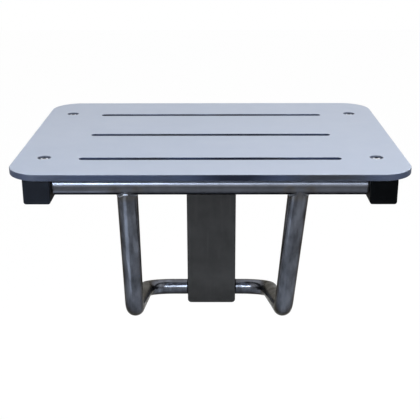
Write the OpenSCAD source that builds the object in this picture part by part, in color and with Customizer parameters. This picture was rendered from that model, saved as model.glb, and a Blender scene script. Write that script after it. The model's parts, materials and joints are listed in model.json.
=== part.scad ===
// Fold down wall seat: a slotted laminate panel on two square rails, hinged at the wall.
// A bent tube brace turns in the rails near the front and slides up a wall guide as the seat folds up.
// Millimetres. The wall is the plane Y = 0, the seat reaches towards -Y, Z is up.
// The origin is the middle of the guide's wall screw pattern, on the wall.

/* [Seat panel] */
// Width of the seat panel
panel_w = 480; // [470:1:560]
// Depth of the seat panel from front to rear
panel_d = 367; // [350:1:380]
// Thickness of the seat panel
panel_t = 8; // [6:0.5:10]
// Radius of the panel's corners, seen from above
panel_corner_r = 40; // [20:1:55]
// Rounding along the panel's top and bottom edges
panel_edge_r = 1.2; // [0.5:0.1:2]
// Number of drain slots
slot_count = 3; // [1:1:3]
// Distance from a drain slot's end to the rail beside it
slot_end_gap = 27.3; // [15:0.1:60]
// Width of a drain slot
slot_w = 11; // [6:0.5:13]
// Distance from one drain slot to the next
slot_pitch = 112; // [60:1:115]
// How far the slots as a group sit forward of the panel's middle
slot_forward = 6.5; // [0:0.5:10]
// Distance of a panel screw from the panel's front or rear edge
screw_inset = 70; // [50:1:90]

/* [Panel screws] */
// Thread diameter of a panel screw
screw_d = 8; // [6:0.5:8]
// Head diameter of a panel screw
screw_head_d = 14; // [12.5:0.5:15.5]
// Height of a panel screw's domed head
screw_head_h = 3.4; // [3:0.1:4]
// Height of the straight rim under the dome of the head
screw_rim_h = 0.8; // [0.4:0.1:1.2]
// Reach of a panel screw below the panel
screw_reach = 12; // [10:0.5:20]
// Width across the flats of the hexagon socket in a screw's head
screw_socket_w = 4; // [4:0.5:6]
// Depth of the socket in a screw's head
screw_socket_depth = 2.4; // [1.5:0.1:2.6]
// Gap around a screw's head in the panel's round recess
recess_gap = 0.8; // [0.3:0.1:2.5]
// Depth of the recess around a screw's head
recess_depth = 3.8; // [3:0.1:4]
// Width across a weld nut
nut_d = 15; // [13:0.5:18]
// Height of a weld nut
nut_h = 6.5; // [5:0.5:9]

/* [Side rails] */
// Outer width and height of a side rail
rail_size = 32; // [30:0.5:36]
// Wall of a side rail
rail_wall = 2; // [1.5:0.1:2.5]
// Radius of a side rail's long edges
rail_edge_r = 3; // [2.6:0.1:4]
// Distance from the panel's side edge to the centre line of the rail under it
rail_inset = 35.7; // [30:0.1:45]
// How far the rails' front caps sit behind the panel's front edge
rail_setback = 10; // [4:0.5:14]
// Thickness of an end cap's face
cap_face_t = 3; // [2:0.5:5]
// Rounding of an end cap's front edge
cap_edge_r = 1; // [0.5:0.1:1.5]
// How far an end cap reaches into its rail
cap_insert_l = 7; // [5:0.5:9]
// Wall of the part of an end cap that sits in the rail
cap_insert_wall = 1.8; // [1.2:0.1:3]

/* [Wall hinge] */
// Gap between the wall and the panel's rear edge
wall_gap = 33; // [31:0.5:36]
// Distance of the hinge axis from the wall
hinge_standoff = 36; // [34:0.5:44]
// Height of the hinge axis above the origin
hinge_h = 70; // [64:1:100]
// Diameter of a hinge pin
hinge_pin_d = 10; // [8:0.5:12]
// Diameter of a hinge pin's head
hinge_head_d = 18; // [16:0.5:22]
// Height of a hinge pin's head
hinge_head_h = 5; // [3:0.5:7]
// Width across a hinge nut's flats
hinge_nut_w = 17; // [15:0.5:19]
// Height of a hinge nut
hinge_nut_h = 8; // [5:0.5:10]
// How far a hinge nut's round end faces sit inside its flats
nut_chamfer = 0.6; // [0.3:0.1:1]
// Thickness of a bracket's ears
ear_t = 5; // [3:0.5:6]
// Radius of an ear around the hinge pin
ear_r = 13; // [11:0.5:14]
// Width of a bracket's wall plate
bracket_w = 86; // [80:1:100]
// Height of a bracket's wall plate
bracket_h = 76; // [70:1:90]
// Thickness of a bracket's wall plate
bracket_t = 5; // [3:0.5:6]
// Corner radius of a bracket's wall plate
bracket_corner_r = 8; // [4:0.5:11]
// How far a bracket's wall plate reaches above the hinge axis
bracket_rise = 8; // [4:0.5:12]
// Distance between a bracket's screw holes, across
bracket_holes_x = 62; // [60:1:68]
// Distance between a bracket's screw holes, up
bracket_holes_z = 52; // [44:1:56]
// Diameter of every wall screw hole
wall_hole_d = 8.5; // [6:0.5:9]

/* [Bushes] */
// Wall of a flanged bush
bush_wall = 2; // [1.5:0.1:2.5]
// Thickness of a bush's flange
bush_flange_t = 1.5; // [1:0.1:2]
// How far a bush's flange stands out past its barrel
bush_flange_rim = 2.5; // [1.5:0.1:3]
// How far a bush's barrel reaches past the rail's wall
bush_tail = 2; // [1:0.5:3]

/* [Brace] */
// Diameter of the round tube
tube_d = 25.4; // [22:0.1:27]
// Wall of the round tube
tube_wall = 1.5; // [1.2:0.1:2]
// Distance of the pivot tube's axis behind the panel's front edge
pivot_setback = 32; // [30:0.5:40]
// Gap between the pivot tube and the panel's underside
pivot_gap = 1; // [0.5:0.1:2]
// Distance between the two legs' centre planes
leg_spread = 206.8; // [190:0.2:230]
// How far the legs are set off to the right on the pivot tube; 0 centres them
brace_offset = 3.6; // [0:0.1:5]
// How far the legs and runs lean to the left; 0 makes the brace straight
brace_lean = 1.5; // [0:0.1:2]
// How far the knee's corner point lies behind the pivot tube
knee_back = 98; // [80:1:110]
// How far the knee's corner point lies below the pivot tube
knee_drop = 215; // [200:1:225]
// How far the crossbar lies below the pivot tube
bar_drop = 301; // [290:1:320]
// Bend radius of the knee, on the tube's centre line
knee_r = 45; // [38:1:60]
// Straight length of the crossbar between a corner and its plug beside the guide
bar_stub_l = 15.4; // [8:0.2:24]
// How much the tube's radius grows where it is bent
bend_swell = 0.02; // [0.01:0.005:0.05]
// How far a straight length of tube reaches into a bend
bend_lap = 0.5; // [0.3:0.1:0.8]
// Diameter of a bolt that the brace turns on
pivot_bolt_d = 10; // [8:0.5:12]
// Diameter of such a bolt's head
pivot_head_d = 16; // [15:0.5:20]
// Height of such a bolt's head
pivot_head_h = 8; // [6:0.5:10]
// Width across the flats of the hexagon socket in such a bolt's head
pivot_socket_w = 8; // [6:0.5:8]
// Depth of the socket in such a bolt's head
pivot_socket_depth = 5; // [3:0.5:5]
// Length of the threaded plug in the pivot tube's end
pivot_plug_l = 24; // [18:1:40]
// Thickness of the plugs' faces on the crossbar
bar_plug_face = 1; // [0.6:0.1:1.5]
// How far a crossbar plug reaches into its tube
bar_plug_l = 10; // [6:0.5:12]

/* [Wall guide] */
// Width of the guide's plates
guide_w = 80; // [70:1:90]
// Thickness of the guide's plates
guide_t = 3; // [2:0.5:4]
// Corner radius of the guide's plates
guide_corner_r = 6; // [3:0.5:9]
// Rounding along the edges of the guide's and the brackets' wall plates
plate_edge_r = 0.8; // [0.4:0.1:0.9]
// How far the guide's plates reach below the crossbar's axis
guide_below = 22; // [21:0.5:26]
// Width of the bars between the guide's plates
spacer_w = 60; // [56:1:68]
// Height of the bar that closes the guide's top
top_spacer_h = 8; // [5:0.5:12]
// Thickness of the rubber stops
pad_t = 2; // [1.5:0.1:3]
// Distance between the guide's wall screw holes, across
guide_holes_x = 50; // [44:1:54]
// Distance between the guide's wall screw holes, up
guide_holes_z = 36; // [30:1:38]
// How far the back plate reaches past its upper holes
guide_hole_edge = 16; // [12:1:20]
// Wall of the nylon sleeve on the crossbar
sleeve_wall = 1; // [0.8:0.1:2]
// Length of the nylon sleeve on the crossbar
sleeve_l = 60; // [30:1:66]

/* [Clearances] */
// Gap around a turning pin or bolt, on the radius
run_gap = 0.05; // [0.02:0.01:0.08]
// Gap beside a part that turns
side_gap = 0.3; // [0.2:0.05:0.5]
// Gap around a part that is pushed in and stays
push_gap = 0.05; // [0.03:0.01:0.1]
// Gap between the sleeve and each of the guide's plates
slide_gap = 0.4; // [0.3:0.05:0.6]
// Gap between the crossbar's ends and the guide
bar_gap = 0.6; // [0.5:0.05:1]

/* [Hidden] */

$fn = 64;
over = 1;
hex_sides = 6;
right_side = 1;
left_side = -1;

laminate_colour = [0.76, 0.80, 0.88];
steel_colour = [0.62, 0.65, 0.70];
dark_steel_colour = [0.22, 0.22, 0.23];
black_colour = [0.06, 0.06, 0.07];
nylon_colour = [0.85, 0.85, 0.82];
zinc_colour = [0.70, 0.72, 0.74];

// Seat panel and rails
rail_x = panel_w / 2 - rail_inset;
rail_z = hinge_h;
rail_bore = rail_size - 2 * rail_wall;
rail_inner_x = rail_x - rail_size / 2;
slot_l = 2 * (rail_inner_x - slot_end_gap);
panel_bottom = rail_z + rail_size / 2;
panel_top = panel_bottom + panel_t;
panel_rear = -wall_gap;
panel_front = panel_rear - panel_d;
panel_mid = (panel_front + panel_rear) / 2;
hinge_y = -hinge_standoff;
hinge_bore_r = hinge_pin_d / 2 + run_gap;
hinge_bush_r = hinge_bore_r + bush_wall;
pivot_bore_r = pivot_bolt_d / 2 + run_gap;
pivot_bush_r = pivot_bore_r + bush_wall;
cap_gap = 1;
rail_rear = hinge_y + hinge_bush_r + push_gap + cap_gap + cap_insert_l;
rail_front = panel_front + rail_setback + cap_face_t;
screw_ys = [panel_front + screw_inset, panel_rear - screw_inset];
recess_d = screw_head_d + 2 * recess_gap;
screw_seat_z = panel_top - recess_depth;
// The ball whose cap is the dome of a screw's head
dome_h = screw_head_h - screw_rim_h;
dome_r = (screw_head_d * screw_head_d / 4 + dome_h * dome_h) / (2 * dome_h);

// Hinge brackets: the ears stand clear of the rails and of the bushes' flanges
ear_inner = rail_size / 2 + bush_flange_t + side_gap;
ear_outer = ear_inner + ear_t;
bracket_top = hinge_h + bracket_rise;
bracket_bottom = bracket_top - bracket_h;
bracket_mid = (bracket_top + bracket_bottom) / 2;
ear_shoulder = 8;
ear_toe = 8;

// Brace
tube_r = tube_d / 2;
tube_bore_r = tube_r - tube_wall;
pivot_y = panel_front + pivot_setback;
pivot_z = panel_bottom - pivot_gap - tube_r;
pivot_half = rail_inner_x - bush_flange_t - side_gap;
leg_x = leg_spread / 2;
sleeve_r = tube_r + sleeve_wall;
bar_y = -(guide_t + slide_gap + sleeve_r);
bar_z = pivot_z - bar_drop;
bar_end = guide_w / 2 + bar_gap;
centre_end = guide_w / 2 + bar_gap / 2;
corner_r = leg_x - bar_end - bar_plug_face - bar_stub_l;

// Where the pivot tube and the crossbar stand when the seat is folded up against the wall
pivot_up_y = hinge_y + pivot_z - hinge_h;
pivot_up_z = hinge_h + hinge_y - pivot_y;
brace_l = norm([bar_y - pivot_y, bar_drop]);
bar_up_z = pivot_up_z - brace_l * cos(asin((bar_y - pivot_up_y) / brace_l));

// Guide
guide_gap = 2 * (sleeve_r + slide_gap);
stop_gap = side_gap + sleeve_r;
guide_bottom = bar_z - guide_below;
bottom_pad_top = bar_z - stop_gap;
bottom_spacer_top = bottom_pad_top - pad_t;
spacer_inset = 1;
top_pad_bottom = bar_up_z + stop_gap;
top_spacer_bottom = top_pad_bottom + pad_t;
guide_top = top_spacer_bottom + top_spacer_h + spacer_inset;
back_plate_top = guide_holes_z / 2 + guide_hole_edge;

// The brace's path: how far the legs lean from upright and the runs slope from level
leg_lean = atan2(knee_back, knee_drop);
run_slope = atan2(bar_drop - knee_drop, bar_y - pivot_y - knee_back);
knee_turn = 90 - leg_lean - run_slope;
leg_span = norm([knee_back, knee_drop]);
run_span = norm([bar_drop - knee_drop, bar_y - pivot_y - knee_back]);

// One step of a bent bar: a straight length along +Z, with what follows at its far end
module straight(l, r, end_lap = bend_lap) {
    translate([0, 0, -bend_lap]) cylinder(h = l + bend_lap + end_lap, r = r);
    translate([0, 0, l]) children();
}

// One step of a bent bar: a bend from +Z towards -Y, with what follows at its far end
module bend(turn, bend_r, r) {
    translate([0, -bend_r, 0]) {
        rotate([90, 0, 90]) rotate_extrude(angle = turn) translate([bend_r, 0]) circle(r = r + bend_swell);
        rotate([turn, 0, 0]) translate([0, bend_r, 0]) children();
    }
}

// A cylinder along X between two places
module x_bar(x0, x1, y, z, r) {
    translate([x0, y, z]) rotate([0, 90, 0]) cylinder(h = x1 - x0, r = r);
}

// A hexagonal bar along +Z, w across its flats
module hex_bar(h, w) {
    cylinder(h = h, d = w / cos(180 / hex_sides), $fn = hex_sides);
}

// A flat plate with round corners and rounded edges, its back at y_back and its face towards -Y
module wall_plate(x0, x1, z0, z1, y_back, t, r) {
    translate([(x0 + x1) / 2, y_back, (z0 + z1) / 2]) rotate([90, 0, 0])
        soft_slab(x1 - x0, z1 - z0, t, r, plate_edge_r);
}

module round_rect(x0, x1, y0, y1, r) {
    translate([x0 + r, y0]) square([x1 - x0 - 2 * r, y1 - y0]);
    translate([x0, y0 + r]) square([x1 - x0, y1 - y0 - 2 * r]);
    for (x = [x0 + r, x1 - r], y = [y0 + r, y1 - r]) translate([x, y]) circle(r = r);
}

// Half of a plate's section, from its middle plane line out to an edge that is rounded top and bottom
module edge_section(reach, t, r) {
    square([reach - r, t]);
    translate([0, r]) square([reach, t - 2 * r]);
    for (y = [r, t - r]) translate([reach - r, y]) circle(r = r);
}

// A slab with round corners and rounded edges, centred on the origin, from z = 0 up
module soft_slab(w, d, t, corner_r, edge_r) {
    cx = w / 2 - corner_r;
    cy = d / 2 - corner_r;
    translate([-cx, -cy, 0]) cube([2 * cx, 2 * cy, t]);
    for (x = [-cx, cx], y = [-cy, cy]) translate([x, y, 0]) rotate_extrude() edge_section(corner_r, t, edge_r);
    for (s = [left_side, right_side]) {
        translate([s * cx, s * cy, 0]) rotate([90, 0, s * 90 - 90]) linear_extrude(2 * cy)
            edge_section(corner_r, t, edge_r);
        translate([-s * cx, s * cy, 0]) rotate([90, 0, s * 90]) linear_extrude(2 * cx)
            edge_section(corner_r, t, edge_r);
    }
}

// Mirrors a part made for the right side when side is the left
module on_side(side) {
    if (side == right_side) children();
    else mirror([1, 0, 0]) children();
}

// Wall mount

module ear_outline() {
    toe = [-bracket_t, bracket_bottom + ear_toe];
    to_axis = [hinge_y, hinge_h] - toe;
    reach = sqrt(to_axis * to_axis - ear_r * ear_r);
    swing = atan2(to_axis.y, to_axis.x) + asin(ear_r / norm(to_axis));
    difference() {
        union() {
            translate([hinge_y, hinge_h]) circle(r = ear_r);
            polygon([toe, toe + reach * [cos(swing), sin(swing)], [hinge_y, hinge_h],
                [hinge_y, hinge_h - ear_shoulder], [-bracket_t, hinge_h - ear_shoulder]]);
        }
        translate([hinge_y, hinge_h]) circle(r = hinge_bore_r);
    }
}

module hinge_bracket(side) {
    color(steel_colour) on_side(side) {
        difference() {
            wall_plate(rail_x - bracket_w / 2, rail_x + bracket_w / 2, bracket_bottom, bracket_top,
                0, bracket_t, bracket_corner_r);
            for (x = [-1, 1] * bracket_holes_x / 2, z = [-1, 1] * bracket_holes_z / 2)
                translate([rail_x + x, over, bracket_mid + z]) rotate([90, 0, 0])
                    cylinder(h = bracket_t + 2 * over, d = wall_hole_d);
        }
        for (x = [rail_x - ear_outer, rail_x + ear_inner]) translate([x, 0, 0])
            rotate([90, 0, 90]) linear_extrude(ear_t) ear_outline();
    }
}

module hinge_pin(side) {
    color(zinc_colour) on_side(side) {
        x_bar(rail_x - ear_outer - hinge_nut_h, rail_x + ear_outer, hinge_y, hinge_h, hinge_pin_d / 2);
        x_bar(rail_x + ear_outer, rail_x + ear_outer + hinge_head_h, hinge_y, hinge_h, hinge_head_d / 2);
    }
}

// The turned shape that a hinge nut's corners are chamfered to
module nut_blank() {
    corner_d = hinge_nut_w / cos(180 / hex_sides);
    face_d = hinge_nut_w - 2 * nut_chamfer;
    slope_h = (corner_d - face_d) / 4;
    cylinder(h = slope_h, d1 = face_d, d2 = corner_d);
    translate([0, 0, slope_h]) cylinder(h = hinge_nut_h - 2 * slope_h, d = corner_d);
    translate([0, 0, hinge_nut_h - slope_h]) cylinder(h = slope_h, d1 = corner_d, d2 = face_d);
}

module hinge_nuts() {
    color(zinc_colour) for (side = [left_side, right_side]) on_side(side) difference() {
        translate([rail_x - ear_outer - hinge_nut_h, hinge_y, hinge_h]) rotate([0, 90, 0]) intersection() {
            hex_bar(hinge_nut_h, hinge_nut_w);
            nut_blank();
        }
        x_bar(rail_x - ear_outer - hinge_nut_h - over, rail_x - ear_outer + over, hinge_y, hinge_h,
            hinge_bore_r);
    }
}

module guide_back_plate() {
    color(steel_colour) difference() {
        wall_plate(-guide_w / 2, guide_w / 2, guide_bottom, back_plate_top, 0, guide_t, guide_corner_r);
        for (x = [-1, 1] * guide_holes_x / 2, z = [-1, 1] * guide_holes_z / 2)
            translate([x, over, z]) rotate([90, 0, 0]) cylinder(h = guide_t + 2 * over, d = wall_hole_d);
    }
}

module guide_front_plate() {
    color(dark_steel_colour)
        wall_plate(-guide_w / 2, guide_w / 2, guide_bottom, guide_top, -guide_t - guide_gap, guide_t,
            guide_corner_r);
}

module guide_block(z0, z1) {
    translate([-spacer_w / 2, -guide_t - guide_gap, z0]) cube([spacer_w, guide_gap, z1 - z0]);
}

module guide_bottom_spacer() {
    color(steel_colour) guide_block(guide_bottom + spacer_inset, bottom_spacer_top);
}

module guide_top_spacer() {
    color(steel_colour) guide_block(top_spacer_bottom, guide_top - spacer_inset);
}

module guide_bottom_pad() {
    color(black_colour) guide_block(bottom_spacer_top, bottom_pad_top);
}

module guide_top_pad() {
    color(black_colour) guide_block(top_pad_bottom, top_spacer_bottom);
}

// Seat

module drain_slot(y) {
    half = (slot_l - slot_w) / 2;
    translate([0, y, panel_bottom - over]) linear_extrude(panel_t + 2 * over) {
        translate([-half, -slot_w / 2]) square([2 * half, slot_w]);
        for (x = [-half, half]) translate([x, 0]) circle(d = slot_w);
    }
}

// The hole for a panel screw: a through hole with a round recess for the head
module screw_hole(x, y) {
    translate([x, y, panel_bottom - over]) cylinder(h = panel_t + over, r = screw_d / 2 + push_gap);
    translate([x, y, screw_seat_z]) cylinder(h = recess_depth + over, d = recess_d);
}

// A screw with a low domed head and a hexagon socket; its seat is at z = 0
module button_screw() {
    difference() {
        union() {
            translate([0, 0, -(screw_reach + panel_t - recess_depth)])
                cylinder(h = screw_reach + panel_t - recess_depth, d = screw_d);
            intersection() {
                cylinder(h = screw_head_h, d = screw_head_d);
                translate([0, 0, screw_head_h - dome_r]) sphere(r = dome_r);
            }
        }
        translate([0, 0, screw_head_h - screw_socket_depth]) hex_bar(screw_socket_depth + over, screw_socket_w);
    }
}

module seat_panel() {
    color(laminate_colour) difference() {
        translate([0, panel_mid, panel_bottom])
            soft_slab(panel_w, panel_d, panel_t, panel_corner_r, panel_edge_r);
        for (i = [0 : slot_count - 1])
            drain_slot(panel_mid - slot_forward + (i - (slot_count - 1) / 2) * slot_pitch);
        for (s = [left_side, right_side], y = screw_ys) screw_hole(s * rail_x, y);
    }
}

module rail_outline(size, r) {
    round_rect(-size / 2, size / 2, -size / 2, size / 2, r);
}

module side_rail(side) {
    color(steel_colour) on_side(side) difference() {
        translate([rail_x, rail_rear, rail_z]) rotate([90, 0, 0]) linear_extrude(rail_rear - rail_front)
            difference() {
                rail_outline(rail_size, rail_edge_r);
                rail_outline(rail_bore, rail_edge_r - rail_wall);
            }
        x_bar(rail_x - rail_size, rail_x + rail_size, hinge_y, hinge_h, hinge_bush_r + push_gap);
        x_bar(rail_x - rail_size, rail_x, pivot_y, pivot_z, pivot_bush_r + push_gap);
        for (y = screw_ys) translate([rail_x, y, rail_z]) cylinder(h = rail_size, r = screw_d / 2 + push_gap);
    }
}

// An end cap whose face looks along -Y; the rail's end is at y = 0
module end_cap() {
    fit = rail_bore - 2 * push_gap;
    rotate([90, 0, 0]) soft_slab(rail_size, rail_size, cap_face_t, rail_edge_r, cap_edge_r);
    rotate([-90, 0, 0]) linear_extrude(cap_insert_l) difference() {
        rail_outline(fit, rail_edge_r - rail_wall);
        rail_outline(fit - 2 * cap_insert_wall, (rail_edge_r - rail_wall) / 2);
    }
}

module front_cap(side) {
    color(black_colour) on_side(side) translate([rail_x, rail_front, rail_z]) end_cap();
}

module rear_cap(side) {
    color(black_colour) on_side(side) translate([rail_x, rail_rear, rail_z]) mirror([0, 1, 0]) end_cap();
}

module panel_screws() {
    color(zinc_colour) for (s = [left_side, right_side], y = screw_ys)
        translate([s * rail_x, y, screw_seat_z]) button_screw();
}

module panel_nuts() {
    top = panel_bottom - rail_wall;
    color(zinc_colour) for (s = [left_side, right_side], y = screw_ys) translate([s * rail_x, y, top - nut_h])
        difference() {
            cylinder(h = nut_h, d = nut_d);
            translate([0, 0, -over]) cylinder(h = nut_h + 2 * over, r = screw_d / 2 + push_gap);
        }
}

// A flanged bush whose flange lies against the rail's wall; the barrel points along +X
module bush(bore_r) {
    difference() {
        union() {
            x_bar(-bush_flange_t, 0, 0, 0, bore_r + bush_wall + bush_flange_rim);
            x_bar(0, rail_wall + bush_tail, 0, 0, bore_r + bush_wall);
        }
        x_bar(-bush_flange_t - over, rail_wall + bush_tail + over, 0, 0, bore_r);
    }
}

// The hinge pins run through both walls of each rail
module hinge_bushes() {
    color(nylon_colour) for (side = [left_side, right_side]) on_side(side) {
        translate([rail_inner_x, hinge_y, hinge_h]) bush(hinge_bore_r);
        translate([rail_inner_x + rail_size, hinge_y, hinge_h]) mirror([1, 0, 0]) bush(hinge_bore_r);
    }
}

// The pivot bolts run through the inner wall of each rail only
module pivot_bushes() {
    color(nylon_colour) for (side = [left_side, right_side]) on_side(side)
        translate([rail_inner_x, pivot_y, pivot_z]) bush(pivot_bore_r);
}

// Brace

module pivot_tube() {
    color(steel_colour) difference() {
        x_bar(-pivot_half, pivot_half, pivot_y, pivot_z, tube_r);
        x_bar(-pivot_half - over, pivot_half + over, pivot_y, pivot_z, tube_bore_r);
    }
}

// A bent bar from the pivot axis down the leg, round the knee, along the run and the corner to end_x.
// It leans sideways, so the knee's turn, the run and the corner are worked out from the lean; the bar
// that it ends in is level and stays on the crossbar's axis.
module leg_path(side, r, end_x) {
    top_x = leg_x + side * brace_offset;
    lean = side * brace_lean;
    turn = atan(tan(knee_turn) * cos(lean));
    leg_l = leg_span / cos(lean);
    run_l = run_span * sin(knee_turn) / sin(turn);
    corner_x = top_x - sin(lean) * (leg_l + run_l * cos(turn));
    corner_turn = acos(sin(lean) * cos(turn));
    corner_roll = atan2(-cos(lean), -sin(lean) * sin(turn));
    knee_cut = knee_r * tan(turn / 2);
    corner_cut = corner_r * tan(corner_turn / 2);
    translate([top_x, pivot_y, pivot_z]) rotate([leg_lean - 180, 0, 0]) rotate([0, -lean, 0])
        straight(leg_l - knee_cut, r) bend(turn, knee_r, r)
            straight(run_l - knee_cut - corner_cut, r) rotate([0, 0, corner_roll])
                bend(corner_turn, corner_r, r) straight(corner_x - corner_cut - end_x, r, 0);
}

module leg(side) {
    color(steel_colour) on_side(side) difference() {
        leg_path(side, tube_r, bar_end + bar_plug_face);
        leg_path(side, tube_bore_r, bar_end + bar_plug_face - over);
        x_bar(-pivot_half, pivot_half, pivot_y, pivot_z, tube_r + push_gap);
    }
}

module pivot_plug(side) {
    color(zinc_colour) on_side(side) difference() {
        x_bar(pivot_half - pivot_plug_l, pivot_half, pivot_y, pivot_z, tube_bore_r - push_gap);
        x_bar(pivot_half - pivot_plug_l - over, pivot_half + over, pivot_y, pivot_z,
            pivot_bolt_d / 2 + push_gap);
    }
}

// A bolt fitted through the rail's open end, with its head inside the rail
module pivot_bolt(side) {
    head_x = rail_inner_x + rail_wall + bush_tail + side_gap;
    color(zinc_colour) on_side(side) difference() {
        union() {
            x_bar(pivot_half - pivot_plug_l, head_x, pivot_y, pivot_z, pivot_bolt_d / 2);
            x_bar(head_x, head_x + pivot_head_h, pivot_y, pivot_z, pivot_head_d / 2);
        }
        translate([head_x + pivot_head_h - pivot_socket_depth, pivot_y, pivot_z]) rotate([0, 90, 0])
            hex_bar(pivot_socket_depth + over, pivot_socket_w);
    }
}

module bar_plug(side) {
    color(black_colour) on_side(side) {
        x_bar(bar_end, bar_end + bar_plug_face, bar_y, bar_z, tube_r);
        x_bar(bar_end + bar_plug_face, bar_end + bar_plug_face + bar_plug_l, bar_y, bar_z,
            tube_bore_r - push_gap);
    }
}

// Slide

module bar_centre() {
    tube_end = centre_end - bar_plug_face;
    color(steel_colour) difference() {
        x_bar(-tube_end, tube_end, bar_y, bar_z, tube_r);
        x_bar(-tube_end - over, tube_end + over, bar_y, bar_z, tube_bore_r);
    }
}

module guide_sleeve() {
    color(nylon_colour) difference() {
        x_bar(-sleeve_l / 2, sleeve_l / 2, bar_y, bar_z, sleeve_r);
        x_bar(-sleeve_l / 2 - over, sleeve_l / 2 + over, bar_y, bar_z, tube_r);
    }
}

module bar_centre_plugs() {
    color(black_colour) for (side = [left_side, right_side]) on_side(side) {
        x_bar(centre_end - bar_plug_face, centre_end, bar_y, bar_z, tube_r);
        x_bar(centre_end - bar_plug_face - bar_plug_l, centre_end - bar_plug_face, bar_y, bar_z,
            tube_bore_r - push_gap);
    }
}

hinge_bracket(left_side);  // hinge_bracket_left
hinge_bracket(right_side);  // hinge_bracket_right
hinge_pin(left_side);  // hinge_pin_left
hinge_pin(right_side);  // hinge_pin_right
hinge_nuts();
guide_back_plate();
guide_front_plate();
guide_bottom_spacer();
guide_top_spacer();
guide_bottom_pad();
guide_top_pad();
seat_panel();
side_rail(left_side);  // side_rail_left
side_rail(right_side);  // side_rail_right
front_cap(left_side);  // front_cap_left
front_cap(right_side);  // front_cap_right
rear_cap(left_side);  // rear_cap_left
rear_cap(right_side);  // rear_cap_right
panel_screws();
panel_nuts();
hinge_bushes();
pivot_bushes();
pivot_tube();
leg(left_side);  // leg_left
leg(right_side);  // leg_right
pivot_plug(left_side);  // pivot_plug_left
pivot_plug(right_side);  // pivot_plug_right
pivot_bolt(left_side);  // pivot_bolt_left
pivot_bolt(right_side);  // pivot_bolt_right
bar_plug(left_side);  // bar_plug_left
bar_plug(right_side);  // bar_plug_right
bar_centre();
guide_sleeve();
bar_centre_plugs();
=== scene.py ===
"""Looks of a fold down wall seat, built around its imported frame. Metres; the wall is the plane y = 0."""

import json
import math

import bmesh
import bpy
from mathutils import Matrix
from mathutils import Vector

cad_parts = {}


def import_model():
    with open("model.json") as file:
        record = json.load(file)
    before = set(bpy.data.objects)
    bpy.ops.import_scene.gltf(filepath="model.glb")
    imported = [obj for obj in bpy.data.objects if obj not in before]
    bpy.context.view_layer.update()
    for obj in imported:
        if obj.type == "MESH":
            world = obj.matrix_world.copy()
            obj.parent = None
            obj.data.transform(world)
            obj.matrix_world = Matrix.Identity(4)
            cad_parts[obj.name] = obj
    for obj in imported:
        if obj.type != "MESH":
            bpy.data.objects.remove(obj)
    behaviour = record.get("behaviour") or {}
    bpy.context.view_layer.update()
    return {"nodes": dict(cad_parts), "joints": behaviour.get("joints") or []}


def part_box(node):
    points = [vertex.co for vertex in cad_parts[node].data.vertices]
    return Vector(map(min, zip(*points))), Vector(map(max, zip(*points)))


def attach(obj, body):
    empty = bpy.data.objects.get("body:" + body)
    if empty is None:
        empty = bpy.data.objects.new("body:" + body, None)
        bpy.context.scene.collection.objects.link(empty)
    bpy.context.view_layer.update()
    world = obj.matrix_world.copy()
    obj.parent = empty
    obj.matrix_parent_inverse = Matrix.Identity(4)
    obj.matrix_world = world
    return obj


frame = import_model()


def box_middle(node):
    """The middle of a node's box, to the nearest micrometre."""
    return tuple(round((low + high) / 2, 6) for low, high in zip(*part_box(node)))


def box_half(node):
    """Half the width, depth and height of a node's box, to the nearest micrometre."""
    return tuple(round((high - low) / 2, 6) for low, high in zip(*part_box(node)))


def joint_place(name):
    return next(Vector(joint["pos_m"]) for joint in frame["joints"] if joint["name"] == name)


# Sizes and places worked out from the frame; the crossbar's height is to the nearest millimetre
PIVOT_AXIS = joint_place("brace_fold")
TUBE_R = box_half("pivot_tube")[2]
RAIL_X = box_middle("side_rail_right")[0]
PANEL_MIDDLE_Y = box_middle("seat_panel")[1]
PANEL_MIDDLE_Z = box_middle("seat_panel")[2]
PANEL_HALF_T = box_half("seat_panel")[2]
CROSSBAR_Z = round(box_middle("bar_centre")[2], 3)

# Sizes that the source gives the frame and that no box shows
LEG_X = 0.1034
BRACE_OFFSET = 0.0036
LEG_LEAN = math.radians(24.504)
SIDE_LEAN = math.radians(1.5)
SCREW_HALF_PITCH = 0.1135
BRACKET_T = 0.005
EAR_OUTER = 0.0228
EAR_LOW = 0.010
EAR_HIGH = 0.062

# Weld metal: the legs' fillets, the run of bead at the foot of one, and the beads on the ears and the guide
LEG_WELD = 0.0050
LEG_WELD_SUNK = 0.00015
LEG_WELD_SWELLS = 7.0
LEG_WELD_SWELL = 0.12
RUN_R = 0.0010
RUN_DROP = 0.0108
RUN_LEAST = 0.6
EAR_WELD_R = 0.0019
EAR_WELD_INSET = 0.003
GUIDE_WELD_R = 0.0016
GUIDE_WELD_INSET = 0.001
BEAD_SIDES = 12
BEAD_STEP = 0.0006
RIPPLE_STEPS = 4
RIPPLE_SWELL = 0.16
END_STEPS = 3.0
END_LEAST = 0.6
OFF_AXIS = Vector((0.31, 0.87, 0.38))

# Camera, fitted to the panel's outline in a frame of 420 x 420 pixels
FRAME_PIXELS = 420.0
FOCAL_PIXELS = 842.0
SENSOR_WIDTH = 36.0
CAMERA_PLACE = (0.0053, -1.3243, 0.3902)
CAMERA_TURN = math.radians(0.33)
CAMERA_TILT = math.radians(90.0 - 20.16)
CAMERA_ROLL = math.radians(-0.15)

# Surroundings
WORLD_LIGHT = 0.30
FLOOR_Z = -0.366
FLOOR_HALF = 4.0
FLOOR_GREY = 0.72
FLOOR_GLOW = 1.03
FLOOR_CAMERA_SHARE = 0.95
FLOOR_MIRROR_SHARE = 0.10

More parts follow.
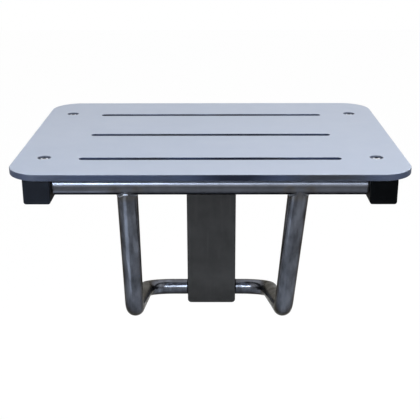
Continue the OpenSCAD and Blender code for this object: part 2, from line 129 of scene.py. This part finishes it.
# Lamps: name, place, what it points at, width, height, watts, colour, and spread in degrees
SEAT_MIDDLE = (0.0, -0.25, -0.05)
CROSSBAR = (0.0, -0.017, CROSSBAR_Z)
PANEL_RIGHT = (0.24, -0.38, 0.09)
WARM = (1.0, 0.945, 0.84)
COOL = (0.80, 0.89, 1.0)
COLD = (0.66, 0.80, 1.0)
WINDOW = (0.74, 0.87, 1.0)
SKY = (0.76, 0.86, 1.0)
LAMPS = (
    ("overhead", (0.72, 0.00, 1.74), SEAT_MIDDLE, 0.60, 0.60, 9.20, WARM, 180.0),
    ("front_left", (-0.54, -2.45, 0.96), PIVOT_AXIS, 0.44, 0.34, 0.90, COLD, 60.0),
    ("front_right", (0.80, -2.50, 0.86), PIVOT_AXIS, 0.80, 0.40, 0.35, COOL, 40.0),
    ("high_strip", (0.10, -2.50, 1.34), CROSSBAR, 1.90, 0.50, 1.70, COOL, 40.0),
    ("low_strip", (-0.45, -2.50, 0.86), CROSSBAR, 1.70, 0.40, 1.15, COOL, 40.0),
    ("left_strip", (-0.48, -0.66, 0.10), CROSSBAR, 0.44, 0.12, 0.60, COOL, 60.0),
    ("right_strip", (0.48, -0.66, 0.10), CROSSBAR, 0.44, 0.12, 0.30, COOL, 60.0),
    ("right_window", (0.80, -1.00, 0.72), PANEL_RIGHT, 0.50, 0.50, 3.00, WINDOW, 180.0),
    ("floor_strip", (-0.26, -0.46, FLOOR_Z + 0.01), (-0.26, -0.46, 1.0), 0.18, 0.20, 0.13, SKY, 180.0),
)


# Node helpers; an owner is a material or the world

def rgb(red, green, blue):
    return (red, green, blue, 1.0)


def scaled(tone, factor):
    return rgb(*(factor * part for part in tone))


def new_material(name):
    material = bpy.data.materials.new(name)
    material.use_nodes = True
    return material


def shader(material):
    return material.node_tree.nodes["Principled BSDF"]


def put(owner, socket, value):
    """Links a node's output to a socket, or sets the socket to a plain value."""
    if isinstance(value, bpy.types.NodeSocket):
        owner.node_tree.links.new(value, socket)
    else:
        socket.default_value = value


def add(owner, kind, inputs=None, **settings):
    """Adds a node, sets its properties, and fills or links its inputs by name or number."""
    node = owner.node_tree.nodes.new(kind)
    for key, value in settings.items():
        setattr(node, key, value)
    for key, value in (inputs or {}).items():
        put(owner, node.inputs[key], value)
    return node


def math_node(owner, operation, a, b=0.0, c=0.0):
    return add(owner, "ShaderNodeMath", {0: a, 1: b, 2: c}, operation=operation).outputs[0]


def minus(owner, a, b):
    return math_node(owner, "SUBTRACT", a, b)


def absolute(owner, value):
    return math_node(owner, "ABSOLUTE", value)


def hypotenuse(owner, a, b):
    square = math_node(owner, "MULTIPLY_ADD", a, a, math_node(owner, "MULTIPLY", b, b))
    return math_node(owner, "SQRT", square)


def span(owner, value, low, high, out_low=0.0, out_high=1.0):
    """Maps a value from low..high to out_low..out_high, and holds it at the ends."""
    inputs = {0: value, 1: low, 2: high, 3: out_low, 4: out_high}
    return add(owner, "ShaderNodeMapRange", inputs).outputs[0]


def place(material):
    return add(material, "ShaderNodeTexCoord").outputs["Object"]


def axes(material, vector):
    return add(material, "ShaderNodeSeparateXYZ", {0: vector}).outputs


def stretched(material, vector, scale):
    return add(material, "ShaderNodeMapping", {"Vector": vector, "Scale": scale}).outputs[0]


def noise(material, vector, scale, detail=2.0, roughness=0.5):
    inputs = {"Vector": vector, "Scale": scale, "Detail": detail, "Roughness": roughness}
    return add(material, "ShaderNodeTexNoise", inputs).outputs["Fac"]


def blend(material, factor, low, high):
    return add(material, "ShaderNodeMix", {0: factor, 6: low, 7: high}, data_type="RGBA").outputs[2]


def bump(material, height, distance, strength=1.0, normal=None):
    inputs = {"Strength": strength, "Distance": distance, "Height": height}
    if normal is not None:
        inputs["Normal"] = normal
    return add(material, "ShaderNodeBump", inputs).outputs[0]


def surface(material, colour, rough, normal, metallic=0.0):
    """Joins a colour, a roughness and a bump to a material's shader."""
    inputs = shader(material).inputs
    put(material, inputs["Base Color"], colour)
    put(material, inputs["Roughness"], rough)
    put(material, inputs["Normal"], normal)
    inputs["Metallic"].default_value = metallic


# Laminate; each band is from, to, the value at from and the value at to, as span takes them

FACE_SKIN = 0.00032
FACE_RAGGED = 0.00016
FACE_LOW = rgb(0.500, 0.552, 0.668)
FACE_HIGH = rgb(0.528, 0.576, 0.690)
FACE_GRAIN = rgb(0.40, 0.44, 0.54)
CORE_LOW = rgb(0.002, 0.003, 0.007)
CORE_HIGH = rgb(0.005, 0.008, 0.017)
CORE_PATCH = rgb(0.015, 0.026, 0.064)
CORE_SMEAR = rgb(0.020, 0.031, 0.060)
SMUDGE = rgb(0.002, 0.003, 0.009)
SMUDGE_X = 0.030
SMUDGE_RAGGED = 0.016
SMUDGE_BAND = (0.024, 0.062, 0.85, 0.0)
SMUDGE_SPECULAR = 0.14
# painted light: the core of the edge turns paler towards the panel's left and right ends, as if it caught
# light from the sides
PAINTED_CORNER_LIGHT = rgb(0.026, 0.035, 0.064)
PAINTED_CORNER_LIGHT_BAND = (0.155, 0.205, 0.0, 0.9)
# painted light: the core inside the screws' recesses is much paler than the edge's core, standing in for
# light on the recess walls
PAINTED_LIGHT_RECESS_WALL = rgb(0.075, 0.085, 0.115)
PAINTED_LIGHT_RECESS_WALL_BAND = (0.0088, 0.0092, 1.0, 0.0)
# a dark ring on the face round each screw recess: partly dark core at the recess edge, partly painted shade
RECESS_RIM_CORE_AND_SHADE = rgb(0.060, 0.070, 0.100)
RECESS_RIM_CORE_AND_SHADE_BAND = (0.0084, 0.0090, 0.65, 0.0)


def screw_radius(material, where):
    """The distance from the axis of the nearest panel screw."""
    x, y, z = axes(material, where)
    side = minus(material, absolute(material, x), RAIL_X)
    along = minus(material, absolute(material, minus(material, y, PANEL_MIDDLE_Y)), SCREW_HALF_PITCH)
    return hypotenuse(material, side, along)


def laminate_face(material, where, grain):
    """The pale decorative face, with a dark ring round each screw recess that is partly dark core at the
    recess edge and partly painted shade.
    """
    clouds = noise(material, where, 7.0, 3.0)
    tone = blend(material, span(material, clouds, 0.3, 0.7), FACE_LOW, FACE_HIGH)
    tone = blend(material, span(material, grain, 0.35, 0.75, 0.0, 0.16), tone, FACE_GRAIN)
    # partly dark core, partly painted shade round each recess
    rim = span(material, screw_radius(material, where), *RECESS_RIM_CORE_AND_SHADE_BAND)
    return blend(material, rim, tone, RECESS_RIM_CORE_AND_SHADE)


def laminate_core(material, where, layers, smears, smudged):
    """The dark layered core on the panel's edges, with painted light that makes it paler near the panel's
    corners and on the screws' recess walls.
    """
    x, y, z = axes(material, where)
    patches = noise(material, stretched(material, where, (9.0, 9.0, 1.0)), 1.0, 2.0)
    tone = blend(material, span(material, layers, 0.35, 0.65), CORE_LOW, CORE_HIGH)
    tone = blend(material, span(material, patches, 0.38, 0.52, 0.0, 0.72), tone, CORE_PATCH)
    tone = blend(material, span(material, smears, 0.45, 0.7, 0.0, 0.6), tone, CORE_SMEAR)
    tone = blend(material, smudged, tone, SMUDGE)
    # painted light: paler core towards the panel's corners
    tone = blend(material, span(material, absolute(material, x), *PAINTED_CORNER_LIGHT_BAND), tone, PAINTED_CORNER_LIGHT)
    # painted light on the screws' recess walls
    wall = span(material, screw_radius(material, where), *PAINTED_LIGHT_RECESS_WALL_BAND)
    return blend(material, wall, tone, PAINTED_LIGHT_RECESS_WALL)


def laminate():
    """Compact laminate: pale faces with a fine suede texture over a dark core that has one dull smudge."""
    material = new_material("laminate")
    where = place(material)
    x, y, z = axes(material, where)
    grain = noise(material, where, 1300.0, 2.0)
    layers = noise(material, stretched(material, where, (6.0, 6.0, 2600.0)), 1.0, 2.0)
    smears = noise(material, stretched(material, where, (22.0, 22.0, 160.0)), 1.0, 3.0)

    ragged = noise(material, where, 900.0, 1.0)
    skin = math_node(material, "MULTIPLY_ADD", ragged, FACE_RAGGED, PANEL_HALF_T - FACE_SKIN)
    depth = absolute(material, minus(material, z, PANEL_MIDDLE_Z))
    face = math_node(material, "GREATER_THAN", depth, skin)

    smudged = absolute(material, minus(material, x, SMUDGE_X))
    smudged = math_node(material, "MULTIPLY_ADD", smears, SMUDGE_RAGGED, smudged)
    smudged = span(material, smudged, *SMUDGE_BAND)

    core_tone = laminate_core(material, where, layers, smears, smudged)
    colour = blend(material, face, core_tone, laminate_face(material, where, grain))
    rough = span(material, noise(material, where, 40.0, 3.0), 0.3, 0.7, 0.40, 0.50)
    rough = math_node(material, "MULTIPLY_ADD", face, 0.06, rough)
    fine = bump(material, grain, 0.00003, 0.5)
    surface(material, colour, rough, bump(material, layers, 0.00003, 0.35, fine))
    dull = minus(material, smudged, math_node(material, "MULTIPLY", smudged, face))
    specular = span(material, dull, 0.0, 1.0, 0.5, SMUDGE_SPECULAR)
    put(material, shader(material).inputs["Specular IOR Level"], specular)
    return material


# Steel

TUBE_TONE = (0.132, 0.138, 0.160)
PIVOT_EDGE = (0.04, 0.04, 0.04)
LEG_EDGE = (0.40, 0.375, 0.33)
MARK_GAIN = 1.35
STREAK_SCALE = (95.0, 30.0, 22.0)
STREAK_LIGHT = rgb(0.225, 0.240, 0.280)
STREAK_DARK = rgb(0.045, 0.047, 0.053)
HEAT_RAGGED = 0.005
STRAW = rgb(0.130, 0.105, 0.065)
STRAW_BAND = (0.0050, 0.0125, 0.40, 0.0)
BLUE = rgb(0.070, 0.076, 0.105)
BLUE_BAND = (0.0030, 0.0070, 0.45, 0.0)
# painted shade: a tube's steel darkened along its underside, below a set height
PAINTED_UNDERSIDE_SHADE = rgb(0.030, 0.030, 0.032)
PIVOT_PAINTED_SHADE_BAND = (PIVOT_AXIS.z - 0.0080, PIVOT_AXIS.z - 0.0045, 0.70, 0.0)
LEG_PAINTED_SHADE_BAND = (CROSSBAR_Z - 0.0050, CROSSBAR_Z + 0.0005, 0.75, 0.0)
ABOVE_WELD_BAND = (PIVOT_AXIS.z - 0.002, PIVOT_AXIS.z + 0.010, 0.0, 0.02)


def steel(name, tone, edge_tone, rough, marks_scale, wave=0.07, dip=0.78):
    """Satin stainless steel: fine polishing marks, cloudy gloss and slow waves that bend its reflections.

    rough is the least and the most roughness, marks_scale stretches the marks, wave is how strong the
    waves are, and dip is the factor that darkens the cloudy places.
    """
    material = new_material(name)
    where = place(material)
    least, most = rough
    marks = noise(material, stretched(material, where, marks_scale), 1.0, 3.0)
    clouds = noise(material, stretched(material, where, (34.0, 34.0, 16.0)), 1.0, 3.0)
    waves = noise(material, where, 26.0, 1.0)
    colour = blend(material, span(material, clouds, 0.42, 0.62), scaled(tone, dip), rgb(*tone))
    colour = blend(material, span(material, marks, 0.3, 0.7, 0.0, 0.25), colour, scaled(tone, MARK_GAIN))
    dullness = span(material, clouds, 0.35, 0.68, most, least)
    dullness = math_node(material, "MULTIPLY_ADD", marks, 0.06, dullness)
    slow = bump(material, waves, 0.0010, wave)
    surface(material, colour, dullness, bump(material, marks, 0.00002, 0.35, slow), 1.0)
    shader(material).inputs["Specular Tint"].default_value = rgb(*edge_tone)
    return material


def wear_and_painted_shade(material, distance_of, streak_share, painted_shade_band):
    """Adds streaks, straw and blue heat colours beside the welds, and painted shade that darkens the
    underside of a tube's steel.

    distance_of gives the metres from a weld.
    """
    where = place(material)
    x, y, z = axes(material, where)
    base = shader(material).inputs["Base Color"]
    streaks = noise(material, stretched(material, where, STREAK_SCALE), 1.0, 2.0)
    away = noise(material, where, 120.0, 2.0)
    away = math_node(material, "MULTIPLY_ADD", away, HEAT_RAGGED, distance_of(material, where))
    colour = base.links[0].from_socket
    colour = blend(material, span(material, streaks, 0.51, 0.63, 0.0, streak_share), colour, STREAK_LIGHT)
    colour = blend(material, span(material, streaks, 0.36, 0.46, streak_share, 0.0), colour, STREAK_DARK)
    colour = blend(material, span(material, away, *STRAW_BAND), colour, STRAW)
    colour = blend(material, span(material, away, *BLUE_BAND), colour, BLUE)
    # painted shade on the tube's underside
    put(material, base, blend(material, span(material, z, *painted_shade_band), colour, PAINTED_UNDERSIDE_SHADE))


def pivot_weld_distance(material, where):
    """How far a point of the pivot tube is from the sides of a leg; above the axis it counts as further."""
    x, y, z = axes(material, where)
    aside = minus(material, absolute(material, minus(material, x, BRACE_OFFSET)), LEG_X)
    aside = minus(material, absolute(material, aside), TUBE_R)
    return math_node(material, "ADD", absolute(material, aside), span(material, z, *ABOVE_WELD_BAND))


def leg_weld_distance(material, where):
    """How far a point of a leg is from the pivot tube's surface."""
    x, y, z = axes(material, where)
    back = minus(material, y, PIVOT_AXIS.y)
    down = minus(material, z, PIVOT_AXIS.z)
    return minus(material, hypotenuse(material, back, down), TUBE_R)


def pivot_steel():
    marks = (14.0, 260.0, 260.0)
    material = steel("pivot_tube_steel", TUBE_TONE, PIVOT_EDGE, (0.18, 0.23), marks, wave=0.04, dip=0.84)
    wear_and_painted_shade(material, pivot_weld_distance, 0.10, PIVOT_PAINTED_SHADE_BAND)
    return material


def leg_steel():
    marks = (260.0, 260.0, 260.0)
    material = steel("leg_steel", TUBE_TONE, LEG_EDGE, (0.14, 0.22), marks, wave=0.34, dip=0.66)
    wear_and_painted_shade(material, leg_weld_distance, 0.48, LEG_PAINTED_SHADE_BAND)
    return material


def rail_steel():
    marks = (900.0, 12.0, 900.0)
    return steel("rail_steel", (0.170, 0.174, 0.186), (0.20, 0.19, 0.17), (0.24, 0.36), marks)


def sheet_steel():
    marks = (900.0, 900.0, 14.0)
    return steel("sheet_steel", (0.220, 0.224, 0.236), (0.24, 0.23, 0.21), (0.28, 0.40), marks)


# Screws, plating and weld metal

SCREW_LOW = rgb(0.62, 0.65, 0.72)
SCREW_HIGH = rgb(0.88, 0.90, 0.96)
SCREW_RINGS = 9000.0
# painted shade: the head's socket darkened
PAINTED_SOCKET_SHADE = rgb(0.030, 0.031, 0.034)
PAINTED_SOCKET_SHADE_BAND = (0.0024, 0.0030, 1.0, 0.0)
# painted shade: the head's outer rim darkened where it meets the gap round it
PAINTED_HEAD_RIM_SHADE = rgb(0.060, 0.064, 0.075)
PAINTED_HEAD_RIM_SHADE_BAND = (0.0060, 0.0068, 0.0, 0.7)
ZINC_BLUE = rgb(0.30, 0.32, 0.35)
ZINC_YELLOW = rgb(0.40, 0.40, 0.36)
ZINC_SPOT = rgb(0.20, 0.21, 0.22)


def screw_steel():
    """Stainless button heads: turning rings round each screw's axis, with painted shade darkening the
    socket and the head's outer rim.
    """
    material = new_material("screw_steel")
    where = place(material)
    radius = screw_radius(material, where)
    rings = math_node(material, "SINE", math_node(material, "MULTIPLY", radius, SCREW_RINGS))
    spots = noise(material, where, 500.0, 3.0)
    colour = blend(material, span(material, spots, 0.35, 0.7), SCREW_LOW, SCREW_HIGH)
    # painted shade in the socket
    colour = blend(material, span(material, radius, *PAINTED_SOCKET_SHADE_BAND), colour, PAINTED_SOCKET_SHADE)
    # painted shade on the head's outer rim
    colour = blend(material, span(material, radius, *PAINTED_HEAD_RIM_SHADE_BAND), colour, PAINTED_HEAD_RIM_SHADE)
    rough = span(material, spots, 0.3, 0.7, 0.16, 0.28)
    surface(material, colour, rough, bump(material, rings, 0.00003, 0.5), 1.0)
    return material


def zinc():
    """Zinc plating: a bluish skin with pale yellow clouds and darker spots."""
    material = new_material("plated_steel")
    where = place(material)
    clouds = noise(material, where, 90.0, 3.0)
    spots = noise(material, where, 700.0, 2.0)
    colour = blend(material, span(material, clouds, 0.35, 0.65), ZINC_BLUE, ZINC_YELLOW)
    colour = blend(material, span(material, spots, 0.6, 0.75, 0.0, 0.4), colour, ZINC_SPOT)
    rough = span(material, clouds, 0.3, 0.7, 0.30, 0.44)
    surface(material, colour, rough, bump(material, spots, 0.00004, 0.4), 1.0)
    return material


def weld_metal(name, low_tone, high_tone, least_rough, most_rough):
    """Weld metal with fine ripples and clouds of heat colour."""
    material = new_material(name)
    where = place(material)
    clouds = noise(material, where, 240.0, 3.0)
    ripples = noise(material, where, 1400.0)
    colour = blend(material, span(material, clouds, 0.35, 0.65), rgb(*low_tone), rgb(*high_tone))
    rough = span(material, clouds, 0.3, 0.7, least_rough, most_rough)
    surface(material, colour, rough, bump(material, ripples, 0.00004, 0.5), 1.0)
    return material


def bead_metal():
    return weld_metal("weld_metal", (0.26, 0.25, 0.22), (0.42, 0.46, 0.56), 0.22, 0.40)


def smoothed_metal():
    return weld_metal("smoothed_weld_metal", (0.060, 0.060, 0.064), (0.105, 0.108, 0.125), 0.32, 0.46)


# Coating, plastic and rubber; a moulded grain is the noise's scale and the bump's depth

PLATE_LOW = rgb(0.0070, 0.0062, 0.0056)
PLATE_HIGH = rgb(0.0150, 0.0138, 0.0128)
PLATE_DRIP = rgb(0.020, 0.019, 0.018)
PLATE_SPECULAR = 0.35
SCUFF_GAIN = 2.2
SCUFF_LIFT = 0.004
CAP_GRAIN = (1100.0, 0.00004)
NYLON_GRAIN = (700.0, 0.00002)
RUBBER_GRAIN = (900.0, 0.00006)


def dark_plate():
    """Dark grey satin coating with soft mottling and faint drips."""
    material = new_material("dark_plate")
    where = place(material)
    mottle = noise(material, where, 42.0, 4.0, 0.6)
    drips = noise(material, stretched(material, where, (150.0, 40.0, 14.0)), 1.0, 3.0)
    grain = noise(material, where, 1500.0, 2.0)
    colour = blend(material, span(material, mottle, 0.35, 0.68), PLATE_LOW, PLATE_HIGH)
    colour = blend(material, span(material, drips, 0.52, 0.72, 0.0, 0.5), colour, PLATE_DRIP)
    rough = span(material, mottle, 0.3, 0.7, 0.50, 0.62)
    skin = bump(material, mottle, 0.0004, 0.12)
    surface(material, colour, rough, bump(material, grain, 0.00004, 0.5, skin))
    shader(material).inputs["Specular IOR Level"].default_value = PLATE_SPECULAR
    return material


def moulded(name, tones, rough, grain, specular):
    """Moulded plastic or rubber: an even spark-eroded grain, faint flow marks and lighter scuffs."""
    material = new_material(name)
    where = place(material)
    tone, light_tone = tones
    grain_scale, grain_depth = grain
    pits = noise(material, where, grain_scale, 3.0)
    flow = noise(material, where, 60.0, 3.0)
    scuffs = noise(material, stretched(material, where, (220.0, 60.0, 700.0)), 1.0, 2.0)
    scuffed = rgb(*(part * SCUFF_GAIN + SCUFF_LIFT for part in light_tone))
    colour = blend(material, span(material, flow, 0.3, 0.7), rgb(*tone), rgb(*light_tone))
    colour = blend(material, span(material, scuffs, 0.66, 0.80, 0.0, 0.35), colour, scuffed)
    dullness = span(material, pits, 0.2, 0.8, rough - 0.05, rough + 0.08)
    surface(material, colour, dullness, bump(material, pits, grain_depth, 0.6))
    shader(material).inputs["Specular IOR Level"].default_value = specular
    return material


def black_plastic():
    tones = ((0.0012, 0.0013, 0.0015), (0.0022, 0.0024, 0.0028))
    return moulded("black_plastic", tones, 0.42, CAP_GRAIN, 0.02)


# painted light: a paler, bluer copy of the black plastic for the left front cap, standing in for light
# falling on it
def painted_light_black_plastic():
    tones = ((0.0034, 0.0044, 0.0070), (0.0058, 0.0074, 0.0112))
    return moulded("painted_light_black_plastic", tones, 0.42, CAP_GRAIN, 0.10)


def nylon():
    tones = ((0.62, 0.61, 0.56), (0.70, 0.69, 0.65))
    return moulded("nylon", tones, 0.45, NYLON_GRAIN, 0.5)


# painted shade: a near black copy of the nylon for the pivot bushes, which sit in shade beside the rails
def painted_shade_nylon():
    tones = ((0.010, 0.010, 0.010), (0.018, 0.018, 0.017))
    return moulded("painted_shade_nylon", tones, 0.45, NYLON_GRAIN, 0.3)


def rubber():
    tones = ((0.006, 0.006, 0.006), (0.012, 0.012, 0.0115))
    return moulded("black_rubber", tones, 0.75, RUBBER_GRAIN, 0.2)


# Welds

def in_scene(name, data):
    """A new object in the scene."""
    made = bpy.data.objects.new(name, data)
    bpy.context.scene.collection.objects.link(made)
    return made


def mesh_object(name, mesh, material):
    """Turns a bmesh into an object with one material."""
    data = bpy.data.meshes.new(name)
    mesh.to_mesh(data)
    mesh.free()
    data.materials.append(material)
    return in_scene(name, data)


def finish_piece(name, mesh, material, body):
    """Turns a bmesh into a smooth piece that rides on a body."""
    for face in mesh.faces:
        face.smooth = True
    piece = mesh_object(name, mesh, material)
    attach(piece, body)


def bead_radius(radius, index, count):
    """A bead's radius at one of its points: it swells with each ripple and narrows at both ends."""
    phase = (index % RIPPLE_STEPS) / RIPPLE_STEPS
    end = (min(index, count - 1 - index) + END_LEAST) / END_STEPS
    return radius * (1.0 + RIPPLE_SWELL * (1.0 - phase)) * math.sqrt(min(1.0, end))


def bead(name, points, radius, material, body):
    """A weld bead along points, its surface raised in overlapping ripples."""
    mesh = bmesh.new()
    rings = []
    count = len(points)
    for i, point in enumerate(points):
        ahead = points[min(i + 1, count - 1)]
        behind = points[max(i - 1, 0)]
        along = (ahead - behind).normalized()
        side = along.cross(OFF_AXIS).normalized()
        up = side.cross(along)
        grown = bead_radius(radius, i, count)
        ring = []
        for k in range(BEAD_SIDES):
            angle = 2.0 * math.pi * k / BEAD_SIDES
            ring.append(mesh.verts.new(point + grown * (math.cos(angle) * side + math.sin(angle) * up)))
        rings.append(ring)
    for first, second in zip(rings, rings[1:]):
        for k in range(BEAD_SIDES):
            beside = (k + 1) % BEAD_SIDES
            mesh.faces.new((first[k], first[beside], second[beside], second[k]))
    mesh.faces.new(rings[0])
    mesh.faces.new(tuple(reversed(rings[-1])))
    bmesh.ops.recalc_face_normals(mesh, faces=mesh.faces)
    finish_piece(name, mesh, material, body)


def straight_bead(name, start, end, radius, material, body):
    count = max(8, int((end - start).length / BEAD_STEP))
    points = [start.lerp(end, i / (count - 1)) for i in range(count)]
    bead(name, points, radius, material, body)


def weld_profile(side, angle, size, sunk=0.0):
    """Low end, corner and high end of a leg's fillet on the pivot tube, at an angle round the leg."""
    down = Vector((-math.sin(SIDE_LEAN), math.sin(LEG_LEAN), -math.cos(LEG_LEAN))).normalized()
    across = down.cross(Vector((1.0, 0.0, 0.0))).normalized()
    out = across.cross(down)
    outward = math.cos(angle) * out + math.sin(angle) * across
    flat = down.copy()
    flat.x = 0.0
    aside = outward.copy()
    aside.x = 0.0
    middle = flat.dot(aside) * TUBE_R / flat.length_squared
    inside = (TUBE_R ** 2 - aside.length_squared * TUBE_R ** 2) / flat.length_squared
    drop = -middle + math.sqrt(max(0.0, inside + middle ** 2))
    low = (drop + size) * down + (TUBE_R - sunk) * outward
    corner = drop * down + TUBE_R * outward
    high = drop * down + (TUBE_R + size) * outward
    reach = math.hypot(high.y, high.z)
    high.y *= (TUBE_R - sunk) / reach
    high.z *= (TUBE_R - sunk) / reach
    start = PIVOT_AXIS + Vector((side * LEG_X + BRACE_OFFSET, 0.0, 0.0))
    return start + low, start + corner, start + high


def on_fillet(profile, t):
    """The point at t, 0 to 1, on the hollow curve from a profile's low end to its high end."""
    low, corner, high = profile
    return (1.0 - t) ** 2 * low + 2.0 * t * (1.0 - t) * corner + t ** 2 * high


def leg_weld(name, side, material):
    """The smoothed fillet between a leg and the pivot tube: a hollow band along their crossing line."""
    steps = 144
    across_band = 9
    mesh = bmesh.new()
    rows = []
    for i in range(steps):
        angle = 2.0 * math.pi * i / steps
        size = LEG_WELD * (1.0 + LEG_WELD_SWELL * math.sin(LEG_WELD_SWELLS * angle + side))
        profile = weld_profile(side, angle, size, LEG_WELD_SUNK)
        rows.append([mesh.verts.new(on_fillet(profile, k / (across_band - 1))) for k in range(across_band)])
    for i in range(steps):
        first = rows[i]
        second = rows[(i + 1) % steps]
        for k in range(across_band - 1):
            mesh.faces.new((first[k], second[k], second[k + 1], first[k + 1]))
    finish_piece(name, mesh, material, "brace")


def leg_weld_run(name, side, first_degrees, last_degrees, material):
    """A short run of bead left proud at the foot of the fillet; 90 degrees is the leg's front."""
    count = 40
    level = PIVOT_AXIS.z - RUN_DROP
    points = []
    for i in range(count):
        angle = math.radians(first_degrees + (last_degrees - first_degrees) * i / (count - 1))
        low, corner, high = weld_profile(side, angle, LEG_WELD)
        slope = (low - corner) / LEG_WELD
        points.append(corner + slope * max(RUN_LEAST * LEG_WELD, (level - corner.z) / slope.z))
    bead(name, points, RUN_R, material, "brace")


def bracket_welds(side, word, material):
    """Fillet welds along the outer faces of a bracket's two ears."""
    for sign, place_word in ((-1, "inner"), (1, "outer")):
        x = side * RAIL_X + side * sign * EAR_OUTER
        start = Vector((x, -BRACKET_T, EAR_LOW + EAR_WELD_INSET))
        end = Vector((x, -BRACKET_T, EAR_HIGH - EAR_WELD_INSET))
        name = "ear_weld_%s_%s" % (word, place_word)
        straight_bead(name, start, end, EAR_WELD_R, material, "wall_mount")


def guide_welds(material):
    """Fillet welds that hold the guide's bars to its two plates."""
    for node, word in (("guide_bottom_spacer", "bottom"), ("guide_top_spacer", "top")):
        low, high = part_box(node)
        for x, side_word in ((low.x, "left"), (high.x, "right")):
            for y, plate_word in ((high.y, "back"), (low.y, "front")):
                start = Vector((x, y, low.z + GUIDE_WELD_INSET))
                end = Vector((x, y, high.z - GUIDE_WELD_INSET))
                name = "guide_weld_%s_%s_%s" % (word, side_word, plate_word)
                straight_bead(name, start, end, GUIDE_WELD_R, material, "wall_mount")


def welds():
    metal = bead_metal()
    smoothed = smoothed_metal()
    leg_weld("leg_weld_left", -1, smoothed)
    leg_weld("leg_weld_right", 1, smoothed)
    leg_weld_run("leg_weld_run_left", -1, 80.0, 139.0, metal)
    bracket_welds(-1, "left", metal)
    bracket_welds(1, "right", metal)
    guide_welds(metal)


# The materials of the CAD nodes

def dress():
    finishes = (
        (laminate(), ("seat_panel",)),
        (dark_plate(), ("guide_front_plate",)),
        (pivot_steel(), ("pivot_tube",)),
        (leg_steel(), ("leg_left", "leg_right", "bar_centre")),
        (rail_steel(), ("side_rail_left", "side_rail_right")),
        (sheet_steel(), ("hinge_bracket_left", "hinge_bracket_right", "guide_back_plate",
                         "guide_bottom_spacer", "guide_top_spacer")),
        (screw_steel(), ("panel_screws",)),
        (zinc(), ("panel_nuts", "hinge_nuts", "hinge_pin_left", "hinge_pin_right", "pivot_bolt_left",
                  "pivot_bolt_right", "pivot_plug_left", "pivot_plug_right")),
        # painted light on the left front cap
        (painted_light_black_plastic(), ("front_cap_left",)),
        (black_plastic(), ("front_cap_right", "rear_cap_left", "rear_cap_right", "bar_plug_left",
                           "bar_plug_right", "bar_centre_plugs")),
        (nylon(), ("hinge_bushes", "guide_sleeve")),
        # painted shade on the pivot bushes
        (painted_shade_nylon(), ("pivot_bushes",)),
        (rubber(), ("guide_bottom_pad", "guide_top_pad")),
    )
    finish = {name: material for material, names in finishes for name in names}
    for name, node in frame["nodes"].items():
        node.data.materials.clear()
        node.data.materials.append(finish[name])


# Stage

def camera():
    data = bpy.data.cameras.new("camera")
    data.sensor_width = SENSOR_WIDTH
    data.lens = FOCAL_PIXELS / FRAME_PIXELS * SENSOR_WIDTH
    rig = in_scene("camera", data)
    turn = Matrix.Rotation(CAMERA_TURN, 4, "Z")
    tilt = Matrix.Rotation(CAMERA_TILT, 4, "X")
    roll = Matrix.Rotation(CAMERA_ROLL, 4, "Z")
    rig.matrix_world = Matrix.Translation(CAMERA_PLACE) @ turn @ tilt @ roll
    bpy.context.scene.camera = rig


def white_share(owner, camera_share, mirror_share):
    """How white a surface is made for the rays from the camera, and for glossy and transmission rays."""
    path = add(owner, "ShaderNodeLightPath").outputs
    mirrored = math_node(owner, "MAXIMUM", path["Is Glossy Ray"], path["Is Transmission Ray"])
    mirrored = math_node(owner, "MULTIPLY", mirrored, mirror_share)
    return math_node(owner, "MULTIPLY_ADD", path["Is Camera Ray"], camera_share, mirrored)


def world():
    """An even white world: full for the camera and in reflections, and dim as a light."""
    studio = bpy.data.worlds.new("studio")
    studio.use_nodes = True
    background = studio.node_tree.nodes["Background"]
    background.inputs["Color"].default_value = rgb(1.0, 1.0, 1.0)
    strength = span(studio, white_share(studio, 1.0, 1.0), 0.0, 1.0, WORLD_LIGHT, 1.0)
    put(studio, background.inputs["Strength"], strength)
    bpy.context.scene.world = studio


def floor():
    """A plain floor that glows white for the camera, with a faint shadow left in it."""
    mesh = bmesh.new()
    corners = ((-1.0, -1.0), (1.0, -1.0), (1.0, 1.0), (-1.0, 1.0))
    mesh.faces.new([mesh.verts.new((x * FLOOR_HALF, y * FLOOR_HALF, FLOOR_Z)) for x, y in corners])
    material = new_material("floor")
    bsdf = shader(material)
    bsdf.inputs["Base Color"].default_value = rgb(FLOOR_GREY, FLOOR_GREY, FLOOR_GREY)
    bsdf.inputs["Roughness"].default_value = 0.9
    bsdf.inputs["Specular IOR Level"].default_value = 0.0
    glow = add(material, "ShaderNodeEmission", {"Color": rgb(1.0, 1.0, 1.0), "Strength": FLOOR_GLOW})
    share = white_share(material, FLOOR_CAMERA_SHARE, FLOOR_MIRROR_SHARE)
    mix = add(material, "ShaderNodeMixShader", {0: share, 1: bsdf.outputs[0], 2: glow.outputs[0]})
    put(material, material.node_tree.nodes["Material Output"].inputs["Surface"], mix.outputs[0])
    plane = mesh_object("floor", mesh, material)


def lamp(name, place_at, look_at, width, height, power, colour, spread):
    """A rectangular lamp that the camera doesn't see."""
    data = bpy.data.lights.new(name, "AREA")
    data.shape = "RECTANGLE"
    data.size = width
    data.size_y = height
    data.energy = power
    data.color = colour
    data.spread = math.radians(spread)
    light = in_scene(name, data)
    aim = Vector(look_at) - Vector(place_at)
    light.rotation_euler = aim.to_track_quat("-Z", "Y").to_euler()
    light.location = place_at
    light.visible_camera = False


def lamps():
    for settings in LAMPS:
        lamp(*settings)


camera()
world()
floor()
lamps()
dress()
welds()
bpy.context.scene.view_settings.view_transform = "Standard"
